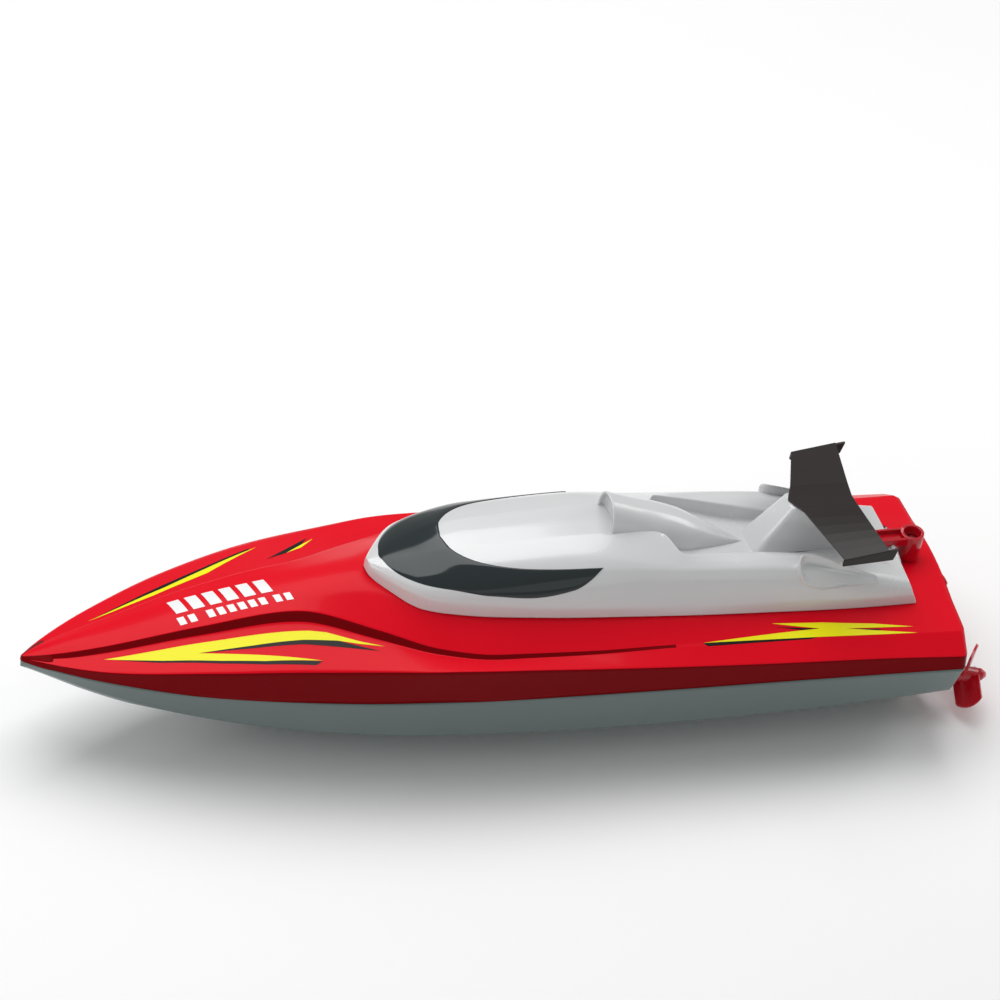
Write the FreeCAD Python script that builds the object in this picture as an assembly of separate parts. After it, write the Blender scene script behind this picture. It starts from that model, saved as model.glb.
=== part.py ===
"""RC boat: a twin-screw electric speed boat, about 0.47 m long.

Stations run aft from the bow tip in millimetres. Heights are above the seam,
the level joint between the hull and the deck. at() turns a station, a
distance to port and a height into the part's frame: +X forward, +Y to port,
+Z up, with the origin under the middle of the boat on the surface it
stands on.
"""
import FreeCAD
import Part
import math
import os

LENGTH = 471.0            # bow tip to propeller nut
TRANSOM = 444.5           # station of the flat stern
SEAM_HEIGHT = 48.3        # seam above the surface the keel stands on
WALL = 1.8                # hull and canopy mouldings
DECK_WALL = 2.0
MOVING_GAP = 0.3          # between the canopy or the latch and the deck

CANOPY_PIVOT = (162.6, 39.5)      # station and height of the bead it rocks on
CANOPY_BEAD = 1.5
LATCH_STATION = 431.0
LATCH_TOP = 34.0
LATCH_FLOOR = 27.4          # bottom of the cup in the barrel
LATCH_RADIUS = 5.5
LATCH_SCREW_RADIUS = 2.0
LATCH_SWEEP = 20.5
PAD_TOP = 20.6            # top of the boss that the latch turns on

SHAFT_ANGLE = 7.0         # propeller shafts rise towards the motors
SHAFT_SPACING = 27.0      # from the centreline
DISC = (461.0, -32.0)     # station and height of the propeller centre
BLADE_RADIUS = 16.0
BLADE_PITCH = 36.0
SHAFT_RADIUS = 1.5
MOTOR_SHAFT_RADIUS = 1.15
RUNNING_CLEARANCE = 0.05
TUBE_RADIUS = 2.6
MOTOR_RADIUS = 12.2
SIDES = {"port": 1, "starboard": -1}

BATTERY_FROM, BATTERY_TO = 205.0, 290.0
BATTERY_HALF = 18.0
BATTERY_FOOT, BATTERY_TOP = -28.0, -8.0
BOARD_FROM, BOARD_TO = 135.0, 190.0
BOARD_HALF = 20.0
BOARD_FOOT, BOARD_TOP = -16.0, -14.4

# Opening in the deck, the plate that covers it and its screws, in plan.
HATCH_OPENING = [(190, 14), (212, 21.5), (392, 21.5), (398, 16)]
HATCH_PLATE = [(181, 16), (206, 28), (398, 28), (405, 19)]
HATCH_SCREWS = [(212, 24.8), (386, 24.8)]
TAB_SLOT = [(162.5, 6), (171, 6)]
WING_SCREWS = [375, 387]

# Lower hull: station, seam half-breadth, chine half-breadth and height, keel height.
HULL_LINES = [
    (6, 5.0, 2.6, -2.2, -4.4),
    (16, 10.9, 6.4, -5.6, -10.8),
    (37, 21.2, 14.0, -12.0, -22.0),
    (66, 31.7, 24.5, -16.2, -34.0),
    (100, 39.9, 34.0, -19.4, -42.5),
    (150, 48.6, 42.8, -23.2, -48.6),
    (210, 53.8, 48.2, -25.4, -51.0),
    (270, 55.5, 50.2, -25.9, -51.2),
    (330, 56.5, 51.0, -25.0, -51.2),
    (390, 57.3, 51.2, -22.6, -51.2),
    (TRANSOM, 58.5, 51.2, -18.6, -51.2),
]

# Deck: station, then half-breadth and height of the seam, gunwale, riser foot,
# riser top and canopy edge, and last the height on the centreline.
DECK_LINES = [
    (6, (5.0, 0), (5.1, 2.8), (2.2, 3.6), (2.0, 4.2), (1.0, 4.5), 4.6),
    (16, (10.9, 0), (11.3, 4.0), (4.8, 5.6), (4.4, 6.9), (2.3, 7.7), 8.0),
    (35, (20.3, 0), (20.9, 6.6), (9.0, 8.9), (8.0, 11.0), (4.2, 12.2), 12.7),
    (79, (35.6, 0), (35.7, 14.4), (14.6, 19.4), (13.0, 23.2), (6.8, 24.8), 25.4),
    (125, (44.9, 0), (46.0, 19.4), (18.4, 26.4), (16.2, 31.0), (8.5, 33.0), 33.8),
    (161, (49.9, 0), (51.3, 20.5), (32.0, 23.2), (30.0, 27.0), (12.0, 35.8), 37.6),
    (187, (52.1, 0), (54.7, 20.9), (42.6, 20.9), (41.0, 23.0), (27.0, 33.4), 36.4),
    (214, (54.1, 0), (55.8, 19.8), (48.0, 19.9), (46.8, 21.8), (33.0, 31.6), 34.4),
    (262, (55.4, 0), (56.1, 16.4), (48.0, 18.4), (46.6, 20.3), (34.6, 28.0), 30.4),
    (303, (56.2, 0), (56.3, 13.8), (47.2, 17.6), (45.6, 18.8), (34.6, 24.9), 27.0),
    (346, (56.7, 0), (56.5, 11.5), (47.0, 16.3), (45.6, 16.9), (33.6, 21.6), 23.6),
    (399, (57.5, 0), (56.6, 9.2), (47.0, 14.9), (45.6, 15.3), (31.4, 17.7), 20.4),
    (TRANSOM, (58.5, 0), (57.2, 6.6), (47.6, 14.0), (46.0, 14.2), (29.0, 15.8), 19.0),
]

# Canopy: station, then half-breadth and height of the base, lip, lower side,
# shoulder and roof edge, and last the height on the centreline.
CANOPY_LINES = [
    (161, (3.0, 37.5), (2.9, 41.0), (2.6, 42.5), (2.0, 43.5), (1.0, 44.0), 44.2),
    (166, (10.0, 36.0), (9.9, 41.0), (9.0, 43.6), (6.5, 45.0), (3.0, 45.7), 45.9),
    (180, (24.5, 34.5), (24.3, 41.5), (23.0, 44.0), (18.0, 47.6), (9.0, 50.0), 50.5),
    (195, (29.5, 33.4), (29.3, 41.0), (28.0, 44.4), (23.5, 49.5), (13.0, 54.0), 55.2),
    (215, (32.4, 31.8), (32.3, 39.5), (31.3, 43.5), (27.5, 50.0), (18.0, 55.3), 56.7),
    (260, (34.0, 28.3), (34.0, 35.0), (32.0, 43.0), (28.0, 51.0), (20.0, 56.0), 58.5),
    (300, (34.0, 25.6), (33.5, 32.0), (30.0, 42.0), (27.0, 47.5), (20.0, 53.0), 57.0),
    (362, (32.5, 21.0), (32.3, 27.0), (31.0, 35.0), (27.5, 42.5), (16.0, 44.5), 45.0),
    (404, (30.8, 17.8), (30.6, 23.5), (29.0, 28.5), (26.0, 32.0), (16.0, 33.5), 33.5),
    (427, (29.6, 16.0), (29.4, 21.5), (28.8, 25.0), (26.5, 28.0), (16.0, 29.4), 28.6),
]
CANOPY_SKIRT = 7.0        # the canopy's sides run down to the deck
CAVITY_END = 419.0
# Cut that leans the canopy's stern face forward, as station and height.
STERN_SLANT = [(440, 10), (427.6, 10), (427.6, 15), (421.2, 29.4), (421.2, 45), (440, 45)]

# Windscreen outline on each side, as station and half-breadth.
WINDSCREEN = [
    (166.2, 0), (168, 8), (181, 21.5), (195, 27.6), (215, 30.9), (251, 32.0), (266, 27.5),
    (251, 25.6), (230, 24.3), (208, 18.5), (198, 10), (195, 0),
]
# Trench behind the air scoop: plan outline and falling floor.
TRENCH = [(300, 11.5), (307, 21), (344, 16), (366, 13.9)]
TRENCH_FLOOR = [(290, 49), (307, 45.5), (345, 37.2), (366, 36.4)]
# Air scoop: station, half-width, foot height and crown height.
SCOOP = [(275, 10.8, 54, 71), (302, 11, 45, 61.5), (324, 8, 41, 51), (346, 1.4, 35, 38)]
SCOOP_MOUTH = 8.0
# Wing: distance from the centreline, leading edge and trailing edge (station, height).
WING = [(0, (364, 60.0), (396, 59.6)), (8.7, (368, 61.0), (397, 59.5)),
        (38.2, (380, 54.8), (401.5, 58.4))]
WING_THICKNESS = 2.0


def at(station, side, height):
    return FreeCAD.Vector(LENGTH / 2 - station, side, height + SEAM_HEIGHT)


def box(first, last, left, right, foot, top):
    """Box between two stations, two distances to port and two heights."""
    corner = at(last, left, foot)
    return Part.makeBox(last - first, right - left, top - foot, corner)


def upright(station, side, radius, foot, top):
    return Part.makeCylinder(radius, top - foot, at(station, side, foot))


def loft(sections, ruled=False):
    """Solid through closed sections, each a list of (half-breadth, height) at a station."""
    wires = []
    for station, half in sections:
        left = [(-side, height) for side, height in reversed(half) if side > 0]
        ring = [at(station, side, height) for side, height in list(half) + left]
        wires.append(Part.makePolygon(ring + ring[:1]))
    return Part.makeLoft(wires, True, ruled)


def plan_prism(outline, foot=-60, top=90):
    """Upright prism over a half outline of (station, half-breadth), mirrored."""
    left = [(station, -side) for station, side in reversed(outline) if side > 0]
    ring = [at(station, side, foot) for station, side in list(outline) + left]
    face = Part.Face(Part.makePolygon(ring + ring[:1]))
    return face.extrude(FreeCAD.Vector(0, 0, top - foot))


def side_prism(outline, half_width):
    """Prism across the boat over an outline of (station, height)."""
    ring = [at(station, -half_width, height) for station, height in outline]
    face = Part.Face(Part.makePolygon(ring + ring[:1]))
    return face.extrude(FreeCAD.Vector(0, 2 * half_width, 0))


def raised(shape, height):
    copy = shape.copy()
    copy.translate(FreeCAD.Vector(0, 0, height))
    return copy


def wire(points, radius):
    """Insulated wire with round corners through (station, side, height) points."""
    spots = [at(*point) for point in points]
    pieces = []
    for start, end in zip(spots, spots[1:]):
        run = end - start
        pieces.append(Part.makeCylinder(radius, run.Length, start, run))
    for corner in spots[1:-1]:
        pieces.append(Part.makeSphere(radius, corner))
    return pieces[0].fuse(pieces[1:]).removeSplitter()


def on_shaft(shape, side):
    """Move a shape built along +X from the propeller centre onto its shaft line."""
    moved = shape.copy()
    moved.rotate(FreeCAD.Vector(0, 0, 0), FreeCAD.Vector(0, 1, 0), -SHAFT_ANGLE)
    moved.translate(at(DISC[0], side * SHAFT_SPACING, DISC[1]))
    return moved


def round_bar(radius, start, end):
    return Part.makeCylinder(
        radius, end - start, FreeCAD.Vector(start, 0, 0), FreeCAD.Vector(1, 0, 0))


# Shells

def hull_volume(inset):
    """Volume of the lower hull, its surfaces moved in by the wall thickness."""
    sections = []
    for station, seam, chine, chine_height, keel in HULL_LINES:
        if inset and station < 16:
            continue
        aft = min(station, TRANSOM - inset)
        sections.append((aft, [
            (seam - inset, 1.0 if inset else 0.0),
            (chine - inset, chine_height + 0.7 * inset),
            (0, keel + 1.3 * inset)]))
    volume = loft(sections)
    below = box(-10, LENGTH, -80, 80, -80, -SEAM_HEIGHT + inset)
    return volume.cut(below)


def deck_volume(inset):
    """Volume under the deck, its surfaces moved in by the wall thickness."""
    sections = []
    for station, seam, gunwale, foot, top, edge, middle in DECK_LINES:
        if inset and station < 16:
            continue
        aft = min(station, TRANSOM - inset)
        half = [
            (seam[0] - inset, -1.0 if inset else 0.0),
            (gunwale[0] - inset, gunwale[1] - 0.8 * inset),
            (foot[0] - 0.6 * inset, foot[1] - inset),
            (top[0] - 0.7 * inset, top[1] - inset),
            (edge[0] - 0.3 * inset, edge[1] - inset),
            (0, middle - inset)]
        sections.append((aft, half))
    return loft(sections)


def canopy_volume(inset, end=427.0):
    """Volume under the canopy, its surfaces moved in by the wall thickness."""
    sections = []
    for station, base, lip, side, shoulder, edge, middle in CANOPY_LINES:
        if inset and station < 166:
            continue
        aft = min(station, end)
        half = [
            (base[0] - inset, base[1] - CANOPY_SKIRT - inset),
            (base[0] - inset, base[1]),
            (lip[0] - inset, lip[1]),
            (side[0] - inset, side[1] - 0.4 * inset),
            (shoulder[0] - 0.7 * inset, shoulder[1] - 0.7 * inset),
            (edge[0] - 0.3 * inset, edge[1] - inset),
            (0, middle - inset)]
        sections.append((aft, half))
    return loft(sections)


def hull_bottom(shell, cavity):
    body = shell.cut(cavity)
    for side in SIDES.values():
        body = body.cut(on_shaft(round_bar(TUBE_RADIUS, 0, 60), side))
    return body


def deck(outer):
    shell = outer.cut(deck_volume(DECK_WALL))
    shell = shell.cut(plan_prism(HATCH_OPENING))
    shell = shell.cut(plan_prism(TAB_SLOT, foot=20))
    boss = upright(LATCH_STATION, 0, 6.0, 15.5, PAD_TOP)
    shell = shell.fuse(boss).removeSplitter()
    for station, offset in HATCH_SCREWS:
        for side in SIDES.values():
            shell = shell.cut(upright(station, side * offset, 1.5, 0, 60))
    return shell.cut(upright(LATCH_STATION, 0, LATCH_SCREW_RADIUS, 10, 40))


def bow_bumper(hull_outer, deck_outer):
    """Rubber cap that wraps the bow tip, nearly flush with the deck and the hull."""
    stations = [(0, 1.4, -1.8, 2.8), (3, 3.9, -3.5, 4.2), (7, 6.6, -5.9, 5.7), (12, 9.6, -8.8, 7.5)]
    sections = []
    for station, half, foot, top in stations:
        ring = [(0.6 * half, foot), (half, 0.5 * foot), (half, 0.6 * top), (0.5 * half, top), (0, top)]
        sections.append((station, [(0, foot)] + ring))
    return loft(sections).cut(hull_outer).cut(deck_outer)


def half_ellipse(station, half, foot, crown):
    steps = 12
    ring = [at(station, half * math.cos(math.pi * k / steps),
               foot + (crown - foot) * math.sin(math.pi * k / steps)) for k in range(steps + 1)]
    return Part.makePolygon(ring + ring[:1])


def scoop():
    """Air intake with an open arched mouth."""
    body = Part.makeLoft([half_ellipse(*row) for row in SCOOP], True, False)
    station, half, foot, crown = SCOOP[0]
    mouth = [half_ellipse(station - 1, half - 1.5, foot, crown - 1.5),
             half_ellipse(station + SCOOP_MOUTH, half - 2.5, foot, crown - 2.5)]
    return body.cut(Part.makeLoft(mouth, True, False).common(
        box(station - 2, station + 20, -20, 20, 58.8, 80)))


def pylon():
    """Wing support that widens towards its foot."""
    foot = [at(349, 0, 36), at(353, 9, 36), at(394, 9, 36), at(394, -9, 36), at(353, -9, 36)]
    top = [at(364, 0, 62), at(366, 6, 62), at(393, 6, 62), at(393, -6, 62), at(366, -6, 62)]
    wires = [Part.makePolygon(ring + ring[:1]) for ring in (foot, top)]
    return Part.makeLoft(wires, True, True)


def wing():
    wires = []
    for offset, lead, trail in WING[:0:-1]:
        wires.append(wing_section(-offset, lead, trail))
    for offset, lead, trail in WING:
        wires.append(wing_section(offset, lead, trail))
    plate = Part.makeLoft(wires, True, True)
    offset, lead, trail = WING[-1]
    for side in SIDES.values():
        inner, outer = sorted((side * (offset - 1.4), side * offset))
        plate = plate.fuse(end_plate(lead, trail, inner, outer))
    return plate.removeSplitter()


def end_plate(lead, trail, inner, outer):
    """Plate that hangs from the wing's tip and runs out behind it."""
    outline = [lead, (trail[0] + 4.4, trail[1] + 0.3), (trail[0] + 2.8, trail[1] - 6.0),
               (lead[0] - 0.2, lead[1] - 4.0)]
    face = Part.Face(Part.makePolygon([at(s, inner, h) for s, h in outline + outline[:1]]))
    return face.extrude(FreeCAD.Vector(0, outer - inner, 0))


def wing_section(offset, lead, trail):
    ring = [at(lead[0], offset, lead[1]), at(trail[0], offset, trail[1]),
            at(trail[0], offset, trail[1] - 0.6 * WING_THICKNESS),
            at(lead[0] + 1.5, offset, lead[1] - WING_THICKNESS)]
    return Part.makePolygon(ring + ring[:1])


def side_vent(side):
    """Raised frame on the canopy's shoulder."""
    outline = [(358, 38), (364, 47.5), (404, 33), (398, 29), (368, 33)]
    ring = [at(station, side * 24, height) for station, height in outline]
    face = Part.Face(Part.makePolygon(ring + ring[:1]))
    return face.extrude(FreeCAD.Vector(0, side * 7.5, 0))


def front_tab():
    """Hook on the canopy's nose that reaches under the deck."""
    neck = box(163.2, 166, -4, 4, 32, 40)
    root = box(161.8, 166, -4, 4, 39, 43)
    hook = box(154, 166, -4, 4, 32, 34)
    return neck.fuse([root, hook])


def bead():
    """Round bar under the nose; the canopy rocks about its centre."""
    station, height = CANOPY_PIVOT
    start = at(station, -3.5, height)
    return Part.makeCylinder(CANOPY_BEAD, 7.0, start, FreeCAD.Vector(0, 1, 0))


def windscreen_inlay():
    skin = canopy_volume(0).cut(canopy_volume(0.9))
    return skin.common(plan_prism(WINDSCREEN))


def canopy(deck_outer, glass, wing_plate):
    trench = plan_prism(TRENCH).common(side_prism(
        TRENCH_FLOOR + [(366, 90), (290, 90)], 40))
    walls = plan_prism([(s, w + WALL) for s, w in TRENCH] + [(368, 13.9)]).common(side_prism(
        [(s, h - WALL) for s, h in TRENCH_FLOOR] + [(368, 36), (368, 90), (290, 90)], 40))
    cavity = canopy_volume(WALL, CAVITY_END).cut(walls)
    body = canopy_volume(0).cut(trench)
    body = body.fuse([scoop(), pylon()] + [side_vent(side) for side in SIDES.values()])
    body = body.cut(cavity)
    body = body.cut(raised(deck_outer, MOVING_GAP))
    body = body.cut(box(100, 460, -80, 80, -20, 12))
    body = body.cut(box(150, CANOPY_PIVOT[0], -20, 20, 20, CANOPY_PIVOT[1]))
    body = body.fuse([front_tab(), bead()])
    body = body.cut(glass)
    body = body.cut(wing_plate)
    body = body.cut(box(360, 400, -8, 8, 61.0, 70))
    body = body.cut(side_prism(STERN_SLANT, 40))
    body = body.cut(upright(LATCH_STATION, 0, 7.2, -10, 60))
    body = body.cut(upright(LATCH_STATION, 0, LATCH_SWEEP, 29.3, 60))
    for station in WING_SCREWS:
        body = body.cut(upright(station, 0, 1.2, 20, 80))
    return largest(body.removeSplitter())


def largest(shape):
    return max(shape.Solids, key=lambda solid: solid.Volume)


def wing_screw(station):
    """Screw driven up through the pylon into the wing."""
    head = upright(station, 0, 2.4, 31.5, 34.0)
    return head.fuse(upright(station, 0, 1.2, 34.0, 58.0))


def hatch_latch():
    """Turning arm that holds the canopy's stern down."""
    barrel = upright(LATCH_STATION, 0, LATCH_RADIUS, PAD_TOP + MOVING_GAP, LATCH_TOP)
    arm = box(413, LATCH_STATION, -4.2, 4.2, 29.8, 33.4)
    arm = arm.cut(box(414.4, 426, -3.0, 3.0, 31.2, 40))
    body = barrel.fuse(arm)
    body = body.cut(upright(LATCH_STATION, 0, 4.1, LATCH_FLOOR, 40))
    bore = LATCH_SCREW_RADIUS + RUNNING_CLEARANCE
    return body.cut(upright(LATCH_STATION, 0, bore, 10, 40)).removeSplitter()


def latch_screw():
    seat = LATCH_FLOOR + MOVING_GAP
    shank = upright(LATCH_STATION, 0, LATCH_SCREW_RADIUS, 12.0, seat)
    head = upright(LATCH_STATION, 0, 3.0, seat, seat + 1.8)
    slot = box(LATCH_STATION - 0.4, LATCH_STATION + 0.4, -3.5, 3.5, seat + 1.0, 33)
    cross = box(LATCH_STATION - 3.5, LATCH_STATION + 3.5, -0.4, 0.4, seat + 1.0, 33)
    return shank.fuse(head).cut(slot).cut(cross).removeSplitter()


def inner_hatch(deck_outer):
    """Inner cover and its gasket, both following the deck's surface."""
    plate = raised(deck_outer, 2.6).cut(raised(deck_outer, 0.8)).common(plan_prism(HATCH_PLATE))
    ring = raised(deck_outer, 0.8).cut(deck_outer).common(plan_prism(HATCH_PLATE))
    seal = ring.cut(plan_prism(HATCH_OPENING))
    for station, offset in HATCH_SCREWS:
        for side in SIDES.values():
            hole = upright(station, side * offset, 1.5, 0, 60)
            plate = plate.cut(hole)
            seal = seal.cut(hole)
    return largest(plate), largest(seal)


def hatch_screw(station, side, plate, deck_outer):
    """Thumb screw that clamps the inner cover."""
    probe = plate.common(upright(station, side, 4.5, 0, 60))
    seat = probe.optimalBoundingBox(False, False).ZMax - SEAM_HEIGHT
    knob = upright(station, side, 4.2, seat + 0.6, seat + 4.6)
    washer = upright(station, side, 3.0, seat - 3, seat + 0.6).cut(raised(deck_outer, 2.6))
    shank = upright(station, side, 1.5, seat - 8, seat + 0.6)
    for turn in range(8):
        angle = math.radians(45 * turn)
        knob = knob.cut(upright(
            station + 4.6 * math.cos(angle), side + 4.6 * math.sin(angle), 0.9, 0, 60))
    return largest(knob.fuse([largest(washer), shank]).removeSplitter())


# Drive: everything on a shaft is built along +X from the propeller centre.

def propeller(side):
    blades = []
    for turn in (90, 210, 330):
        plate = Part.makeBox(1.2, 13.5, BLADE_RADIUS + 4, FreeCAD.Vector(-0.6, -6.75, 2.2))
        plate.rotate(FreeCAD.Vector(0, 0, 0), FreeCAD.Vector(0, 0, 1), -side * BLADE_PITCH)
        plate.rotate(FreeCAD.Vector(0, 0, 0), FreeCAD.Vector(1, 0, 0), turn - 90)
        blades.append(plate)
    disc = Part.makeTorus(BLADE_RADIUS - 6, 6, FreeCAD.Vector(0, 0, 0), FreeCAD.Vector(1, 0, 0))
    disc = disc.fuse(round_bar(BLADE_RADIUS - 6, -6, 6))
    rotor = round_bar(3.6, -5, 5).fuse([blade.common(disc) for blade in blades])
    return on_shaft(rotor.cut(round_bar(SHAFT_RADIUS, -20, 20)).removeSplitter(), side)


def prop_nut(side):
    base = round_bar(3.0, -7.6, -5)
    tip = Part.makeCone(3.0, 1.4, 2.475, FreeCAD.Vector(-7.6, 0, 0), FreeCAD.Vector(-1, 0, 0))
    return on_shaft(base.fuse(tip).cut(round_bar(SHAFT_RADIUS, -7, 0)), side)


def prop_shaft(side):
    return on_shaft(round_bar(SHAFT_RADIUS, -7, 100), side)


def stern_tube(side):
    bore = SHAFT_RADIUS + RUNNING_CLEARANCE
    return on_shaft(round_bar(TUBE_RADIUS, 6.5, 90).cut(round_bar(bore, 0, 95)), side)


def shaft_strut(side, shell):
    """Collar and flange that carry the tube's end behind the transom."""
    middle = side * SHAFT_SPACING
    flange = box(TRANSOM, TRANSOM + 2.2, middle - 9, middle + 9, -36, -22)
    inside = shell.copy()
    inside.translate(FreeCAD.Vector(-4, 0, 0))
    flange = flange.common(inside)
    collar = on_shaft(round_bar(4.4, 7.5, 20), side).cut(box(0, TRANSOM, -80, 80, -80, 80))
    rib = side_prism([(TRANSOM, -29), (TRANSOM, -22), (452, -29)], 1.2)
    rib.translate(FreeCAD.Vector(0, middle, 0))
    strut = flange.fuse([collar, rib])
    return strut.cut(on_shaft(round_bar(TUBE_RADIUS, 0, 30), side)).removeSplitter()


def coupling(side):
    body = round_bar(4.8, 93, 111)
    body = body.cut(round_bar(SHAFT_RADIUS, 92, 101))
    body = body.cut(round_bar(MOTOR_SHAFT_RADIUS, 101, 112))
    for start in (97, 106):
        body = body.cut(Part.makeCylinder(
            1.0, 6, FreeCAD.Vector(start, 0, 0), FreeCAD.Vector(0, 0, 1)))
    return on_shaft(body, side)


def motor_shaft(side):
    return on_shaft(round_bar(MOTOR_SHAFT_RADIUS, 101, 146), side)


def motor(side):
    """Brushed motor: steel can with a front bearing boss and side slots."""
    can = round_bar(MOTOR_RADIUS, 116, 143).fuse(round_bar(4.0, 113.6, 116))
    can = can.makeFillet(1.2, [edge for edge in can.Edges
                               if abs(edge.BoundBox.YLength - 2 * MOTOR_RADIUS) < 0.1][:1])
    return on_shaft(can.cut(round_bar(MOTOR_SHAFT_RADIUS + RUNNING_CLEARANCE, 100, 150)), side)


def motor_end(side):
    """Plastic end bell with two terminals."""
    bell = round_bar(MOTOR_RADIUS - 0.6, 143, 147).fuse(round_bar(4.2, 147, 149.5))
    bell = bell.cut(round_bar(MOTOR_SHAFT_RADIUS + RUNNING_CLEARANCE, 140, 147))
    for offset in (-7, 7):
        bell = bell.fuse(Part.makeBox(4, 2.4, 0.8, FreeCAD.Vector(147, offset - 1.2, 0)))
    return on_shaft(bell.removeSplitter(), side)


def motor_mount(side, cavity):
    """Face plate that stands on the hull floor and carries the motor's nose."""
    plate = Part.makeBox(2.0, 30, 60, FreeCAD.Vector(114, -15, -45))
    foot = Part.makeBox(14.0, 30, 60, FreeCAD.Vector(102, -15, -60 - MOTOR_RADIUS + 1))
    body = plate.fuse(foot).cut(round_bar(4.0, 100, 120))
    for offset in (-8, 8):
        body = body.cut(Part.makeCylinder(
            1.5, 10, FreeCAD.Vector(110, offset, 0), FreeCAD.Vector(1, 0, 0)))
    inside = cavity.common(box(330, 380, -80, 80, -60, 0))
    return largest(on_shaft(body, side).common(inside))


def mount_screw(side, offset):
    head = round_bar(2.6, 112.4, 114)
    shape = head.fuse(round_bar(1.5, 114, 116))
    shape.translate(FreeCAD.Vector(0, offset, 0))
    return on_shaft(shape, side)


# Electrics

def battery_tray(cavity):
    first, last, half, foot = BATTERY_FROM, BATTERY_TO, BATTERY_HALF, BATTERY_FOOT
    block = box(first - 5, last + 5, -half - 4, half + 4, -60, foot + 8).common(cavity)
    block = block.cut(box(first - 0.3, last + 0.3, -half - 0.3, half + 0.3, foot, foot + 40))
    return block.cut(strap_band(outer_only=True))


def battery_pack():
    block = box(BATTERY_FROM, BATTERY_TO, -BATTERY_HALF, BATTERY_HALF, BATTERY_FOOT, BATTERY_TOP)
    length = BATTERY_TO - BATTERY_FROM
    long_edges = [edge for edge in block.Edges if edge.BoundBox.XLength > length - 1]
    return block.makeFillet(5.0, long_edges)


def strap_band(outer_only=False):
    half, foot, top = BATTERY_HALF, BATTERY_FOOT, BATTERY_TOP
    middle = (BATTERY_FROM + BATTERY_TO) / 2
    outer = box(middle - 9, middle + 9, -half - 1.7, half + 1.7, foot + 3, top + 1.5)
    if outer_only:
        return outer
    return outer.cut(box(middle - 10, middle + 10, -half - 0.3, half + 0.3, foot - 1, top + 0.2))


def board_mount(cavity):
    """Two cross bars on a spine, shaped to the hull floor."""
    first, last, half, foot = BOARD_FROM, BOARD_TO, BOARD_HALF, BOARD_FOOT
    bars = [box(first + 3, first + 9, -half, half, -60, foot),
            box(last - 9, last - 3, -half, half, -60, foot)]
    spine = box(first + 3, last - 3, -4, 4, -60, foot - 8)
    return spine.fuse(bars).common(cavity).removeSplitter()


def circuit_board():
    board = box(BOARD_FROM, BOARD_TO, -BOARD_HALF, BOARD_HALF, BOARD_FOOT, BOARD_TOP)
    for station in (BOARD_FROM + 6, BOARD_TO - 6):
        for side in SIDES.values():
            board = board.cut(upright(station, side * (BOARD_HALF - 3), 1.3, -20, 0))
    return board


def board_screw(station, side):
    offset = side * (BOARD_HALF - 3)
    head = upright(station, offset, 2.4, BOARD_TOP, BOARD_TOP + 1.6)
    return head.fuse(upright(station, offset, 1.3, BOARD_FOOT, BOARD_TOP))


def heat_sink():
    """Finned cooler on the speed controller's transistors."""
    first, top = BOARD_FROM, BOARD_TOP
    block = box(first + 18, first + 42, -11, 11, top, top + 9)
    for offset in range(-9, 10, 3):
        block = block.cut(box(first + 17, first + 43, offset - 0.8, offset + 0.8, top + 2, top + 10))
    return block


def radio_module():
    first, top = BOARD_FROM, BOARD_TOP
    base = box(first + 3, first + 15, -9, 9, top, top + 3)
    return base.fuse(upright(first + 6, 6, 1.0, top + 3, top + 16))


def battery_leads():
    """Red and black leads from the battery to the board."""
    leads = {}
    for name, offset in (("red", 4.0), ("black", 8.0)):
        leads["battery_lead_" + name] = wire(
            [(BATTERY_FROM, offset, -11), (186, offset, -11), (186, offset, BOARD_TOP)], 1.0)
    return leads


def battery_plug(leads):
    """Connector that both battery leads run through."""
    body = box(193, 200, 2, 10, -13, -9)
    latch = box(195, 200, 4.5, 7.5, -9, -8)
    return body.fuse(latch).cut(list(leads.values())).removeSplitter()


def motor_leads(side, name):
    leads = {}
    spot = motor_terminal(side)
    for colour, offset, run in (("red", 7, 29), ("black", -7, 25)):
        start = side * (13.5 + 0.3 * offset)
        leads["motor_lead_%s_%s" % (name, colour)] = wire(
            [(188, start, BOARD_TOP), (188, start, -6), (204, side * run, -6),
             (spot[0] - 8, side * run, -6),
             (spot[0] - 2.2, side * (SHAFT_SPACING + offset), spot[2])], 0.9)
    return leads


def motor_terminal(side):
    angle = math.radians(SHAFT_ANGLE)
    along = 149.0
    return (DISC[0] - along * math.cos(angle), side * SHAFT_SPACING,
            DISC[1] + along * math.sin(angle))


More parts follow.
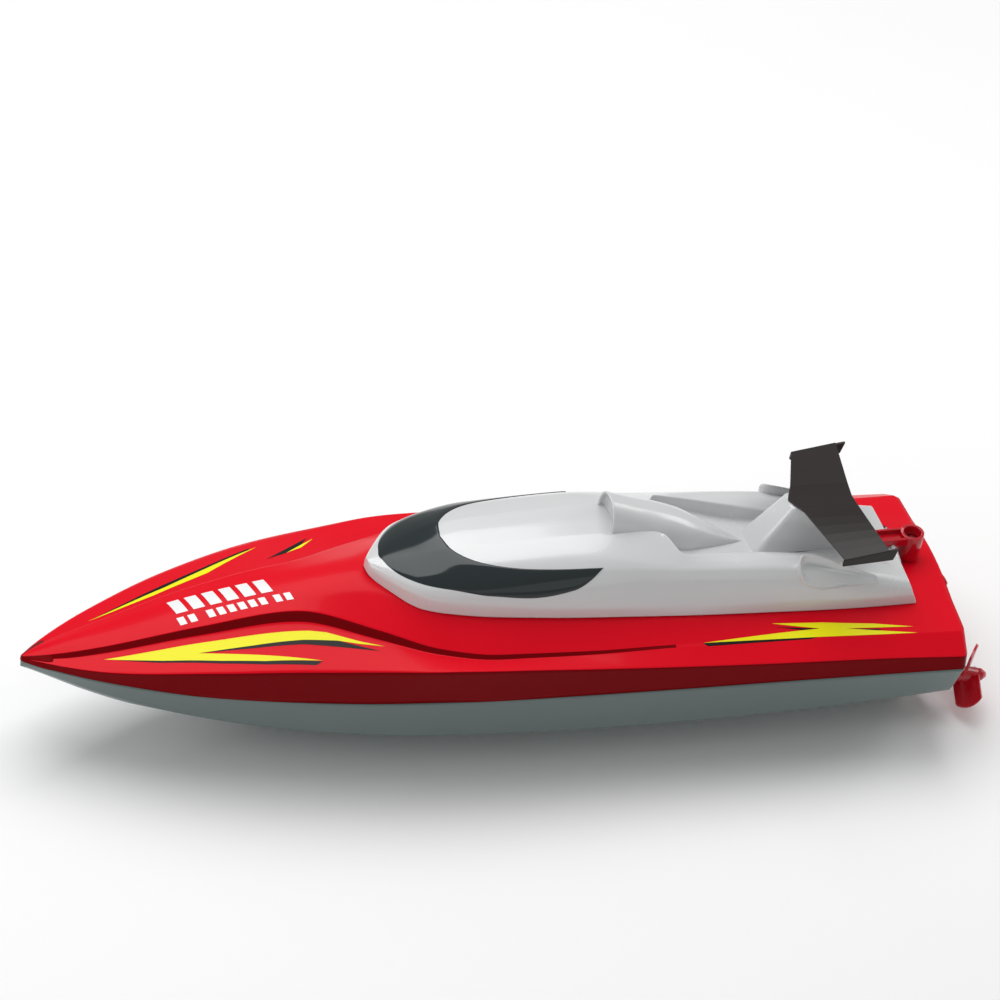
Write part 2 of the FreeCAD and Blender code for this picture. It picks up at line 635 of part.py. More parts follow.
def build():
    """All nodes of the boat by name."""
    hull_outer = hull_volume(0)
    cavity = hull_volume(WALL)
    deck_outer = deck_volume(0)
    glass = windscreen_inlay()
    wing_plate = wing()
    cover, seal = inner_hatch(deck_outer)
    battery_wires = battery_leads()
    nodes = {
        "hull_bottom": hull_bottom(hull_outer, cavity),
        "deck": deck(deck_outer),
        "bow_bumper": bow_bumper(hull_outer, deck_outer),
        "canopy": canopy(deck_outer, glass, wing_plate),
        "windscreen": glass,
        "wing": wing_plate.cut([upright(station, 0, 1.2, 0, 58.0) for station in WING_SCREWS]),
        "hatch_latch": hatch_latch(),
        "latch_screw": latch_screw(),
        "inner_hatch": cover,
        "hatch_seal": seal,
        "battery_tray": battery_tray(cavity),
        "battery_pack": battery_pack(),
        "battery_strap": strap_band(),
        "battery_plug": battery_plug(battery_wires),
        "board_mount": board_mount(cavity),
        "circuit_board": circuit_board(),
        "heat_sink": heat_sink(),
        "radio_module": radio_module(),
    }
    nodes.update(battery_wires)
    for number, station in enumerate(WING_SCREWS, 1):
        nodes["wing_screw_%d" % number] = wing_screw(station)
    number = 0
    for station, offset in HATCH_SCREWS:
        for side in SIDES.values():
            number += 1
            nodes["hatch_screw_%d" % number] = hatch_screw(station, side * offset, cover, deck_outer)
            nodes["board_screw_%d" % number] = board_screw(
                BOARD_FROM + 6 if number < 3 else BOARD_TO - 6, side)
    for name, side in SIDES.items():
        nodes["propeller_" + name] = propeller(side)
        nodes["prop_nut_" + name] = prop_nut(side)
        nodes["prop_shaft_" + name] = prop_shaft(side)
        nodes["stern_tube_" + name] = stern_tube(side)
        nodes["shaft_strut_" + name] = shaft_strut(side, hull_outer)
        nodes["coupling_" + name] = coupling(side)
        nodes["motor_shaft_" + name] = motor_shaft(side)
        nodes["motor_" + name] = motor(side)
        nodes["motor_end_" + name] = motor_end(side)
        nodes["motor_mount_" + name] = motor_mount(side, cavity)
        nodes["mount_screw_%s_1" % name] = mount_screw(side, 8)
        nodes["mount_screw_%s_2" % name] = mount_screw(side, -8)
        nodes.update(motor_leads(side, name))
    return nodes


def main():
    os.makedirs("parts", exist_ok=True)
    for name, shape in build().items():
        shape.exportStep("parts/%s.step" % name)


main()
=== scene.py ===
"""Looks of the RC boat: smooth mouldings, graphics, materials, light and camera.

Lengths in the tables are millimetres. A place on the boat is a station aft of
the bow tip, a distance to port and a height above the seam between hull and
deck; at() turns it into the frame's metres.
"""
import math

import bmesh
import bpy
from mathutils import Matrix, Vector
from mathutils.bvhtree import BVHTree


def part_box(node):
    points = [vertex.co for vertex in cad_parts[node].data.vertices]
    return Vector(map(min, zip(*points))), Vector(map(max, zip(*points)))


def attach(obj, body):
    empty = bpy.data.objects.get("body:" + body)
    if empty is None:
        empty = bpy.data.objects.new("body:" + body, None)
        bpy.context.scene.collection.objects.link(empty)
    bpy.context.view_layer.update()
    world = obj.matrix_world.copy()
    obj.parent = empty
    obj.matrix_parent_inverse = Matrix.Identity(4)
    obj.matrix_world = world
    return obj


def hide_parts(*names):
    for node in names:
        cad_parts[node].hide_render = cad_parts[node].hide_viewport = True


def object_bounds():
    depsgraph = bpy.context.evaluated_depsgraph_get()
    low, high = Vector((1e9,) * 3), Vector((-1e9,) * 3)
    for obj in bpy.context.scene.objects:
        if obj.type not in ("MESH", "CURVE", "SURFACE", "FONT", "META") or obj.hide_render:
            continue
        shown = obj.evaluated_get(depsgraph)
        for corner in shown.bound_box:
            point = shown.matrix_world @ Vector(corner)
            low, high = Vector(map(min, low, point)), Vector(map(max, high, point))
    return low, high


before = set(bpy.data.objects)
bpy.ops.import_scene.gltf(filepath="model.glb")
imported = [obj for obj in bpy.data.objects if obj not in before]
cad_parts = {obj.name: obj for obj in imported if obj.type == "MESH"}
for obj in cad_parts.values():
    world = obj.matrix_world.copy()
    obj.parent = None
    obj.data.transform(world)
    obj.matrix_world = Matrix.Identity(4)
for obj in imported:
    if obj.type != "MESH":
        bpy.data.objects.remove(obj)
cad_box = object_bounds()

MM = 0.001
BOW = cad_box[1].x
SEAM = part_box("deck")[0].z
TRANSOM = 444.5
OVER_EVERYTHING = 120

# Walls: of the mouldings and of the windscreen, and how they grow from the bow tip aft.
MOULDED_WALL = 1.6
SCREEN_WALL = 0.4
WALL_GROWS_FROM, WALL_GROWS_OVER, WALL_LEAST = 3, 25, 0.02

# The hull stands out under the deck's edge, and the canopy stands clear of the deck.
SEAM_LEDGE = 0.5
CANOPY_GAP = 0.4
# The deck's riser takes the darker red of painted shade as far as this station.
PAINTED_SHADE_RISER_END = 296

# Bead of the canopy's hinge.
BEAD_STATION = 162.6
BEAD_HEIGHT = 39.5
BEAD_RADIUS_SQUARED = 3.6

# Latch: its axis, the hollow round its boss, its arm's reach and the height left under it.
LATCH_STATION = 431.0
SCALLOP = 7.2
LATCH_SWEEP = 21.5
SWEPT_HEIGHT = 29.2

# The canopy's stern leans forward by a length, aft of a station and over a range of heights.
CANOPY_END = 427.0
STERN_LEAN = 6.0
LEAN_STATION = 404
LEAN_FROM, LEAN_RISE = 15.5, 13.5

# Lower hull: station, then half-breadth and height of seam, chine and keel edge.
HULL_LINES = [
    (0.8, (1.0, 0), (0.9, -2.0), (0.2, -3.6)),
    (6, (5.0, 0), (3.6, -3.2), (0.3, -6.0)),
    (16, (10.9, 0), (7.6, -5.8), (0.4, -11.2)),
    (37, (21.2, 0), (14.0, -12.0), (0.6, -22.0)),
    (66, (31.7, 0), (24.5, -16.2), (0.8, -34.0)),
    (100, (39.9, 0), (34.0, -19.4), (1.0, -42.3)),
    (150, (48.6, 0), (42.8, -23.2), (1.8, -47.6)),
    (190, (52.4, 0), (46.8, -24.8), (5.0, -48.3)),
    (270, (55.5, 0), (50.2, -25.9), (5.6, -48.3)),
    (330, (56.5, 0), (51.0, -25.0), (5.6, -48.3)),
    (390, (57.3, 0), (51.2, -22.6), (5.2, -48.3)),
    (TRANSOM, (58.5, 0), (51.2, -18.6), (4.6, -48.3)),
]

# Deck: station, then seam, gunwale, riser foot, riser top, canopy edge and centreline.
DECK_LINES = [
    (0.4, (0.8, 0), (0.9, 1.6), (0.7, 2.0), (0.5, 2.3), (0.3, 2.45), (0, 2.5)),
    (6, (5.0, 0), (5.1, 2.8), (3.4, 3.1), (2.6, 4.1), (1.4, 4.5), (0, 4.6)),
    (16, (10.9, 0), (11.3, 4.0), (6.8, 4.7), (5.4, 6.7), (2.6, 7.7), (0, 8.0)),
    (35, (20.3, 0), (20.9, 6.6), (9.8, 8.6), (8.2, 11.2), (4.2, 12.3), (0, 12.7)),
    (79, (35.6, 0), (35.7, 14.4), (14.6, 19.4), (13.0, 23.2), (6.8, 24.8), (0, 25.4)),
    (125, (44.9, 0), (46.0, 19.4), (18.4, 26.4), (16.2, 31.0), (8.5, 33.0), (0, 33.8)),
    (161, (49.9, 0), (51.3, 20.5), (32.0, 23.2), (30.0, 27.0), (12.0, 35.8), (0, 37.6)),
    (187, (52.1, 0), (54.7, 20.9), (42.6, 20.9), (41.0, 23.0), (27.0, 33.4), (0, 36.4)),
    (214, (54.1, 0), (55.8, 19.8), (48.0, 19.9), (46.8, 21.8), (33.0, 31.6), (0, 34.4)),
    (262, (55.4, 0), (56.1, 16.4), (48.0, 18.3), (46.9, 19.5), (34.6, 28.0), (0, 30.4)),
    (303, (56.2, 0), (56.3, 13.8), (47.2, 17.8), (45.8, 18.3), (34.6, 24.9), (0, 27.0)),
    (346, (56.7, 0), (56.5, 11.5), (47.0, 16.3), (45.6, 16.9), (33.6, 21.6), (0, 23.6)),
    (399, (57.5, 0), (56.6, 9.2), (47.0, 14.9), (45.6, 15.3), (31.4, 17.7), (0, 20.4)),
    (TRANSOM, (58.5, 0), (57.2, 6.6), (47.6, 14.0), (46.0, 14.2), (29.0, 15.8), (0, 19.0)),
]

# Canopy: station, then base, lip, lower side, shoulder and roof edge.
CANOPY_LINES = [
    (161, (3.0, 37.5), (2.9, 41.0), (2.6, 42.5), (2.0, 43.5), (1.0, 44.0)),
    (166, (10.0, 36.0), (9.9, 41.0), (9.0, 43.6), (6.5, 45.0), (4.0, 45.6)),
    (180, (24.5, 34.5), (24.3, 41.5), (23.0, 44.0), (18.0, 47.6), (11.0, 49.6)),
    (195, (29.5, 33.4), (29.3, 41.0), (28.0, 44.4), (23.5, 49.5), (16.0, 53.1)),
    (215, (32.4, 31.8), (32.3, 39.5), (31.3, 43.5), (27.5, 50.0), (20.0, 54.5)),
    (260, (34.0, 28.3), (34.0, 35.0), (32.0, 43.0), (28.0, 51.0), (22.0, 55.2)),
    (300, (34.0, 25.6), (33.5, 32.0), (30.0, 42.0), (27.5, 47.2), (24.5, 49.4)),
    (362, (32.5, 21.0), (32.3, 27.0), (31.0, 35.0), (27.5, 42.5), (20.0, 44.4)),
    (404, (30.8, 17.8), (30.6, 23.5), (29.0, 28.5), (26.0, 32.0), (18.0, 33.4)),
    (CANOPY_END, (29.6, 16.0), (29.4, 21.5), (28.8, 25.0), (26.5, 28.0), (18.0, 29.2)),
]
# Edge of the trench behind the scoop, its foot and the centreline, along the canopy.
TRENCH_FROM, TRENCH_TO = 299, 385
TRENCH_EDGE = [
    (161, (0.6, 44.1)), (166, (2.4, 45.8)), (180, (6.5, 50.3)), (195, (9.5, 54.7)),
    (215, (10.5, 56.4)), (260, (10.8, 58.0)), (296, (10.8, 56.6)), (300.5, (11.5, 56.0)),
    (307.5, (21.0, 50.8)), (325, (18.6, 48.3)), (344, (16.2, 44.8)), (366, (14.2, 40.4)),
    (385, (12.8, 37.2)), (404, (12.2, 33.6)), (CANOPY_END, (12.0, 29.3)),
]
TRENCH_FOOT = [
    (161, (0.5, 44.1)), (166, (2.0, 45.8)), (180, (6.0, 50.3)), (195, (9.0, 54.8)),
    (215, (10.0, 56.5)), (260, (10.0, 58.1)), (296, (10.0, 56.7)), (300.5, (10.9, 54.6)),
    (307.5, (20.4, 45.6)), (325, (18.0, 41.8)), (344, (15.6, 37.8)), (364, (13.6, 35.6)),
    (374, (12.6, 36.4)), (385, (12.0, 37.4)), (404, (11.4, 33.6)), (CANOPY_END, (11.2, 29.2)),
]
CANOPY_CENTRE = [
    (161, (0, 44.2)), (166, (0, 45.9)), (180, (0, 50.5)), (195, (0, 55.2)), (215, (0, 56.9)),
    (260, (0, 58.6)), (296, (0, 57.2)), (300.5, (0, 54.0)), (307.5, (0, 45.6)), (325, (0, 41.8)),
    (344, (0, 37.8)), (364, (0, 35.6)), (374, (0, 36.4)), (385, (0, 37.4)), (404, (0, 33.6)),
    (CANOPY_END, (0, 29.0)),
]
# Scoop: station, then half-breadth, foot and crown; and its rim's inset and depth.
SCOOP = [
    (274.5, (10.6, 56.0, 71.0)), (290, (10.4, 53.0, 65.4)), (302, (11.2, 48.0, 61.4)),
    (311, (11.2, 44.0, 57.8)), (324, (8.2, 41.0, 50.6)), (336, (4.2, 38.5, 43.2)),
    (345.5, (0.9, 36.4, 37.9)),
]
SCOOP_RIM = [(1.7, 3.0), (1.5, 2.6), (1.3, 0.4), (1.1, 0.0), (0.2, 0.0), (0.0, 0.3)]
# Pylon: first and last station, half-breadth and height.
PYLON_FOOT = (348.5, 396.0, 9.2, 36.8)
PYLON_HEAD = (364.5, 394.0, 6.0, 59.4)
PYLON_FLARE = 0.8
PYLON_BLUNTNESS = 0.6

# How many strips lie between one corner of a half section and the next.
HULL_COUNTS = (3, 5, 1)
DECK_COUNTS = (2, 4, 1, 4, 3)
CANOPY_COUNTS = (2, 1, 2, 2, 1, 1, 3)

# Windscreen outline on each side of the centreline: station and distance.
SCREEN_OUTER = [(165.6, 0), (168.4, 8.5), (174, 16), (182, 22.2), (193, 26.6), (212, 31.0),
                (236, 32.3), (252, 31.6), (261, 29.4), (266, 26.6)]
SCREEN_INNER = [(195, 0), (197, 8.5), (201.5, 14), (208, 18.4), (218, 22), (230, 24.2),
                (244, 25.6), (254, 26.2), (266, 26.6)]
SCREEN_LIFT, SCREEN_EDGE_LIFT = 0.35, 0.12

# Side vent: its closed outline in plan, and how far the rim stands up at each point.
VENT = [(369, 23.6), (365.2, 24.6), (363.2, 26.6), (363.0, 28.6), (364.6, 30.2), (368, 30.9),
        (374, 31.0), (389, 29.8), (403, 28.4), (405.4, 27.6), (405.6, 26.4), (403, 25.6),
        (389, 24.3), (378, 23.7), (369, 23.6)]
VENT_RISE = [5.2, 5.2, 4.9, 4.0, 2.6, 1.5, 1.2, 1.1, 1.0, 1.0, 1.0, 1.2, 2.8, 4.4, 5.2]
VENT_MIDDLE = (384, 27.0)
VENT_POINTS = 48
# Its depth in the canopy, its rim's width, the slope inside as a share of it, and its floor.
VENT_ROOT, VENT_RIM, VENT_SLOPE, VENT_FLOOR = 0.4, 0.9, 1.7, 0.3

# Wing: distance from the centreline, leading edge and trailing edge (station, height).
WING = [(0, (364, 60.0), (396, 59.6)), (8.7, (368, 61.0), (397, 59.5)),
        (38.2, (380, 54.8), (401.5, 58.4))]
WING_THICKNESS = 2.0
END_PLATE = [(380, 54.8), (405.9, 58.7), (404.3, 52.4), (379.8, 50.8)]
END_PLATE_WIDTH = 1.4

# Clear opening under the inner cover.
HATCH_FROM, HATCH_TO, HATCH_HALF = 193.0, 394.0, 20.5

# Graphics on the deck, as outlines of (station, distance to port).
YELLOW = [
    [(35, 13.3), (60, 16.6), (88, 19.7), (119, 22.8), (128, 23.8), (136, 25.6), (151, 32.2),
     (161.5, 35.8), (150, 33.4), (140, 30.6), (124.3, 28.2), (100, 26.2), (76, 23.6),
     (100, 31.0), (130, 40.3), (104, 35.4), (84.8, 30.2), (60, 22.6)],
    [(35.5, -12.8), (75, -22.4), (96, -29.4), (124.6, -39.6), (96, -25.6), (68, -18.2)],
    [(136, -31.4), (144.5, -34.8), (152.8, -41.4), (145.4, -37.2)],
    [(351, 38.2), (376, 38.4), (401, 40.2), (420, 43.2), (387, 42.2), (421, 47.0),
     (374, 46.0), (339, 45.8), (315, 45.8), (354, 42.9), (374, 41.6)],
    [(351, -38.2), (376, -38.4), (401, -40.2), (420, -43.2), (387, -42.2), (421, -47.0),
     (374, -46.0), (339, -45.8), (315, -45.8), (354, -42.9), (374, -41.6)],
]
BLACK = [
    [(76, 23.6), (100, 26.2), (124.3, 28.2), (140, 30.6), (159, 38.4), (142, 34.6),
     (124.3, 30.6), (100, 27.6)],
    [(40, 15.4), (60, 22.6), (84.8, 30.2), (104, 35.4), (130, 40.6), (126.5, 42.2),
     (104, 37.2), (84, 31.4), (58, 23.0)],
    [(38, -13.6), (75, -22.4), (96, -29.4), (120, -38.2), (121.5, -39.8), (97, -31.4),
     (74, -24.4)],
    [(125, -27.8), (136, -31.4), (145.4, -37.2), (150, -42.4), (137, -34.8)],
    [(315, 45.8), (339, 45.8), (372, 46.0), (368, 46.7), (338, 47.0), (317, 47.5)],
    [(352, 39.9), (374, 41.6), (367, 42.3)],
    [(387, 42.2), (404, 43.6), (402, 44.4)],
    [(315, -45.8), (339, -45.8), (372, -46.0), (368, -46.7), (338, -47.0), (317, -47.5)],
    [(352, -39.9), (374, -41.6), (367, -42.3)],
]
# Rows of slanted bars on the foredeck: sides, bar length and where each bar starts.
BAR_ROWS = [
    (-5.6, 3.2, 5.4, [69, 77, 85, 93, 101, 109]),
    (5.6, 9.8, 3.2, [70, 75, 83.5, 88.4, 93.3, 98.2, 103.1, 108, 115, 120]),
]
# A bar that reaches this far across slants aft by this much.
SLANTED_WIDTH, BAR_SLANT = 8.8, 1.8
UPPER_DECAL, LOWER_DECAL = 0.12, 0.08
LONGEST_DECAL_EDGE = 2.5

# Lamps: name, place, target, size and power, in metres and watts.
LAMPS = [
    ("top_soft", (0.15, -0.35, 1.1), (0, 0, 0.05), (1.4, 0.8), 10.0),
    ("bow", (1.5, 0.05, 0.5), (0.0, 0, 0.06), (0.9, 0.6), 4.0),
    ("port_low", (-0.3, 1.3, 0.35), (-0.1, 0, 0.05), (1.2, 0.3), 0.5),
    ("stern_edge", (-1.0, -0.2, 0.6), (-0.1, 0, 0.06), (0.5, 0.4), 1.6),
]
WORLD_STRENGTH = 0.40

# Line of sight of the photograph, the width it sees and its centre to the right and up.
VIEW_RIGHT = Vector((-0.9299, 0.3192, 0.1827))
VIEW_UP = Vector((-0.0750, -0.6510, 0.7554))
VIEW_WIDTH = 1000 / 2.2 * MM
VIEW_CENTRE = (218.4, 72.7)
CAMERA_DISTANCE = 20.0


def at(station, side, height):
    return Vector((BOW - station * MM, side * MM, SEAM + height * MM))


def blend_between(knots, values, x):
    """Smooth curve through the knots that never overshoots them."""
    last = len(knots) - 1
    gaps = [knots[i + 1] - knots[i] for i in range(last)]
    rises = [(values[i + 1] - values[i]) / gaps[i] for i in range(last)]
    slopes = [rises[0]]
    for i in range(1, last):
        if rises[i - 1] * rises[i] <= 0:
            slopes.append(0.0)
            continue
        near = 2 * gaps[i] + gaps[i - 1]
        far = gaps[i] + 2 * gaps[i - 1]
        slopes.append((near + far) / (near / rises[i - 1] + far / rises[i]))
    slopes.append(rises[-1])
    i = 0
    while i < last - 1 and x > knots[i + 1]:
        i += 1
    t = min(max((x - knots[i]) / gaps[i], 0.0), 1.0)
    return ((2 * t ** 3 - 3 * t ** 2 + 1) * values[i] + (t ** 3 - 2 * t ** 2 + t) * gaps[i] * slopes[i]
            + (3 * t ** 2 - 2 * t ** 3) * values[i + 1] + (t ** 3 - t ** 2) * gaps[i] * slopes[i + 1])


def line_at(rows, column, station):
    """One point of a station table, at any station."""
    knots = [row[0] for row in rows]
    size = len(rows[0][column])
    return tuple(blend_between(knots, [row[column][k] for row in rows], station)
                 for k in range(size))


def section(rows, station):
    return [line_at(rows, column, station) for column in range(1, len(rows[0]))]


def deck_height(station, side):
    """Height of the deck at a place, by straight lines across its section."""
    half = section(DECK_LINES, station)[1:]
    side = abs(side)
    for outer, inner in zip(half, half[1:]):
        if side >= inner[0]:
            share = (side - inner[0]) / max(outer[0] - inner[0], 0.01)
            return inner[1] + share * (outer[1] - inner[1])
    return half[-1][1]


# Meshes

def new_object(name, data):
    made = bpy.data.objects.new(name, data)
    bpy.context.collection.objects.link(made)
    return made


def new_piece(name, data, paint, body):
    """Smooth-shaded piece in one material that rides a body."""
    data.materials.append(paint)
    for face in data.polygons:
        face.use_smooth = True
    piece = new_object(name, data)
    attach(piece, body)
    return piece


def mesh_object(name, verts, faces, paint, body):
    data = bpy.data.meshes.new(name)
    data.from_pydata([tuple(v) for v in verts], [], faces)
    data.update()
    return new_piece(name, data, paint, body)


def fix_normals(piece):
    bm = bmesh.new()
    bm.from_mesh(piece.data)
    bmesh.ops.recalc_face_normals(bm, faces=bm.faces)
    bm.to_mesh(piece.data)
    bm.free()


def quads(rows, width, start=0, ring=False):
    """Faces between neighbouring rows of vertices; ring joins the ends of each row."""
    faces = []
    for near in range(start, start + (rows - 1) * width, width):
        far = near + width
        for c in range(width if ring else width - 1):
            after = (c + 1) % width
            faces.append([near + c, near + after, far + after, far + c])
    return faces


def port_column(vertex, width):
    """Column of a grid's vertex, or of its mirror image if it's to starboard."""
    column = vertex % width
    return min(column, width - 1 - column)


def crease_columns(piece, columns, width):
    """Creases the lengthwise edges of a grid, given as port columns and their creases."""
    layer = piece.data.attributes.new("crease_edge", "FLOAT", "EDGE")
    for edge in piece.data.edges:
        first, second = sorted(edge.vertices)
        if second - first == width:
            layer.data[edge.index].value = columns.get(port_column(first, width), 0.0)


def crease_rows(piece, wanted, width, crease):
    layer = piece.data.attributes["crease_edge"]
    for edge in piece.data.edges:
        first, second = sorted(edge.vertices)
        if first // width in wanted and second // width == first // width:
            layer.data[edge.index].value = crease


def smooth_surface(piece, levels):
    modifier = piece.modifiers.new("surface", "SUBSURF")
    modifier.levels = levels
    modifier.render_levels = levels


def thicken(piece, thickness):
    """Gives a skin its wall, which thins out towards the bow tip."""
    group = piece.vertex_groups.new(name="wall")
    for vert in piece.data.vertices:
        share = ((BOW - vert.co.x) / MM - WALL_GROWS_FROM) / WALL_GROWS_OVER
        group.add([vert.index], min(max(share, WALL_LEAST), 1.0), "REPLACE")
    modifier = piece.modifiers.new("wall", "SOLIDIFY")
    modifier.thickness = thickness * MM
    modifier.offset = -1.0
    modifier.vertex_group = "wall"


def steps(start, end, count):
    return [start + (end - start) * k / count for k in range(count + 1)]


def grid_skin(name, stations, half_rows, paint, body, keep=None):
    """Skin through mirrored sections, capped at both ends.

    Each half row runs from the port edge to the centreline. Its points are a
    side and a height, or a station, a side and a height.
    """
    verts = []
    for station, half in zip(stations, half_rows):
        row = [at(station, *point) if len(point) == 2 else at(*point) for point in half]
        mirror = [Vector((v.x, -v.y, v.z)) for v in reversed(row[:-1])]
        verts.extend(row + mirror)
    width = 2 * len(half_rows[0]) - 1
    rows = len(stations)
    faces = [corner for corner in quads(rows, width)
             if keep is None or keep(sum((verts[v] for v in corner), Vector()) / 4)]
    for start in (0, (rows - 1) * width):
        for c in range(width // 2 - 1):
            corner = [start + c, start + c + 1, start + width - 2 - c, start + width - 1 - c]
            if c == width // 2 - 2:
                corner.insert(2, start + width // 2)
            faces.append(corner if start else corner[::-1])
    piece = mesh_object(name, verts, faces, paint, body)
    fix_normals(piece)
    return piece, width, rows


def between(a, b, share):
    return tuple(p + (q - p) * share for p, q in zip(a, b))


def subdivided(half, counts):
    """Half section with extra points between its corners."""
    points = []
    for (a, b), count in zip(zip(half, half[1:]), counts):
        points.extend(between(a, b, k / count) for k in range(count))
    return points + [half[-1]]


def crowned(half):
    """Rounds the middle of a deck section so that it has no ridge."""
    inner = DECK_COUNTS[-1]
    edge, centre = half[-1 - inner], half[-1]
    for k in range(1, inner):
        share = 1 - k / inner
        height = centre[1] - (centre[1] - edge[1]) * share ** 2
        half[-1 - inner + k] = (edge[0] * share, height)
    return half


def column_of(counts, corner):
    return sum(counts[:corner])


# Materials: every one is built from nodes, with its own small-scale detail.

def material(name, colour, roughness, metallic=0.0, coat=0.0, noise=0.04, scale=60.0,
             bump=0.0, bump_scale=800.0, shade=0.92, alpha=1.0, specular=0.5):
    """Paint whose colour, down to its shade, and roughness, by its noise, drift over a piece."""
    made = bpy.data.materials.new(name)
    made.use_nodes = True
    nodes, links = made.node_tree.nodes, made.node_tree.links
    shader = nodes["Principled BSDF"]
    shader.inputs["Metallic"].default_value = metallic
    shader.inputs["Coat Weight"].default_value = coat
    shader.inputs["Coat Roughness"].default_value = 0.05
    shader.inputs["Specular IOR Level"].default_value = specular
    shader.inputs["Alpha"].default_value = alpha
    place = nodes.new("ShaderNodeTexCoord")
    cloud = nodes.new("ShaderNodeTexNoise")
    cloud.inputs["Scale"].default_value = scale
    cloud.inputs["Detail"].default_value = 4.0
    links.new(place.outputs["Object"], cloud.inputs["Vector"])
    tint = nodes.new("ShaderNodeMix")
    tint.data_type = "RGBA"
    tint.inputs[6].default_value = (*[c * shade for c in colour], 1)
    tint.inputs[7].default_value = (*colour, 1)
    links.new(cloud.outputs["Fac"], tint.inputs[0])
    links.new(tint.outputs[2], shader.inputs["Base Color"])
    spread = nodes.new("ShaderNodeMapRange")
    spread.inputs["To Min"].default_value = max(roughness - noise, 0.01)
    spread.inputs["To Max"].default_value = roughness + noise
    links.new(cloud.outputs["Fac"], spread.inputs["Value"])
    links.new(spread.outputs["Result"], shader.inputs["Roughness"])
    if bump:
        grain = nodes.new("ShaderNodeTexNoise")
        grain.inputs["Scale"].default_value = bump_scale
        grain.inputs["Detail"].default_value = 3.0
        links.new(place.outputs["Object"], grain.inputs["Vector"])
        add_bump(made, grain.outputs["Fac"], bump, 0.0002)
    return made


def add_bump(made, height, strength, depth):
    """Raises a material's surface by a pattern, at most by the depth in metres."""
    nodes, links = made.node_tree.nodes, made.node_tree.links
    lift = nodes.new("ShaderNodeBump")
    lift.inputs["Strength"].default_value = strength
    lift.inputs["Distance"].default_value = depth
    links.new(height, lift.inputs["Height"])
    links.new(lift.outputs["Normal"], nodes["Principled BSDF"].inputs["Normal"])


def paints():
    """All materials of the boat by name."""
    return {
        "red": material("deck_gloss_red", (0.74, 0.002, 0.014), 0.30, coat=0.05, bump=0.008,
                        bump_scale=260.0, specular=0.09, shade=0.97),
        # Darker red as painted shade: the same red moulding, darkened where the deck's side band, riser
        # and bow band face away from the light.
        "painted_shade_red": material("side_painted_shade_red", (0.19, 0.0003, 0.0025), 0.42, bump=0.02,
                             bump_scale=260.0, specular=0.05, shade=0.95),
        "hull": material("hull_satin_grey", (0.145, 0.185, 0.178), 0.40, coat=0.1, bump=0.05,
                         specular=0.25),
        "silver": material("canopy_pearl_silver", (0.66, 0.67, 0.675), 0.26, metallic=0.08,
                           coat=0.35, bump=0.008, shade=0.97, specular=0.4),
        "glass": material("screen_gloss_black", (0.016, 0.024, 0.026), 0.10, coat=0.25, noise=0.02,
                          specular=0.3),
        "wing": material("wing_gloss_charcoal", (0.021, 0.016, 0.0155), 0.30, coat=0.03, bump=0.04,
                         specular=0.25),
        "part_red": material("latch_gloss_red", (0.50, 0.002, 0.012), 0.18, coat=0.5, noise=0.05,
                             specular=0.35),
        "yellow": material("vinyl_yellow", (0.90, 0.84, 0.004), 0.34, shade=0.97, specular=0.25),
        "black": material("vinyl_black", (0.006, 0.005, 0.005), 0.36, specular=0.2),
        "white": material("vinyl_white", (0.86, 0.86, 0.86), 0.32, coat=0.2, shade=0.97),
        "steel": material("turned_steel", (0.62, 0.63, 0.65), 0.26, metallic=1.0, scale=400.0),
        "zinc": material("plated_can", (0.55, 0.56, 0.57), 0.34, metallic=1.0, scale=200.0),
        "alloy": material("satin_alloy", (0.74, 0.75, 0.76), 0.36, metallic=1.0, scale=500.0),
        "brass": material("drawn_brass", (0.76, 0.55, 0.22), 0.28, metallic=1.0, scale=300.0),
        "tray": material("tray_matt_black", (0.028, 0.028, 0.030), 0.55, bump=0.25),
        "sleeve": material("battery_sleeve", (0.02, 0.09, 0.36), 0.30, coat=0.3, bump=0.1,
                           bump_scale=90.0),
        "strap": strap_weave(),
        "board": circuit_green(),
        "plug": material("plug_ivory", (0.72, 0.71, 0.64), 0.40, bump=0.1),
        "seal": material("seal_rubber", (0.02, 0.02, 0.02), 0.60, bump=0.2),
        "knob": material("knob_black", (0.03, 0.03, 0.032), 0.45, bump=0.2),
        "clear": material("cover_smoked", (0.30, 0.32, 0.33), 0.10, alpha=0.35, coat=0.5,
                          noise=0.03),
        "wire_red": material("wire_red", (0.50, 0.01, 0.01), 0.45, bump=0.1),
        "wire_black": material("wire_black", (0.015, 0.015, 0.015), 0.45, bump=0.1),
    }


def strap_weave():
    """Woven strap: fine ribs across the band."""
    made = material("strap_weave", (0.022, 0.022, 0.024), 0.70)
    nodes, links = made.node_tree.nodes, made.node_tree.links
    wave = nodes.new("ShaderNodeTexWave")
    wave.inputs["Scale"].default_value = 500.0
    place = nodes.new("ShaderNodeTexCoord")
    links.new(place.outputs["Object"], wave.inputs["Vector"])
    add_bump(made, wave.outputs["Fac"], 0.5, 0.0003)
    return made


def circuit_green():
    """Lacquered board with a faint pattern of copper tracks."""
    made = material("board_lacquer", (0.012, 0.13, 0.05), 0.28, coat=0.4)
    nodes, links = made.node_tree.nodes, made.node_tree.links
    place = nodes.new("ShaderNodeTexCoord")
    cells = nodes.new("ShaderNodeTexVoronoi")
    cells.distance = "MANHATTAN"
    cells.inputs["Scale"].default_value = 260.0
    ramp = nodes.new("ShaderNodeValToRGB")
    ramp.color_ramp.elements[0].color = (0.02, 0.20, 0.08, 1)
    ramp.color_ramp.elements[1].color = (0.008, 0.10, 0.04, 1)
    ramp.color_ramp.interpolation = "CONSTANT"
    links.new(place.outputs["Object"], cells.inputs["Vector"])
    links.new(cells.outputs["Distance"], ramp.inputs["Fac"])
    links.new(ramp.outputs["Color"], nodes["Principled BSDF"].inputs["Base Color"])
    return made


# Mouldings

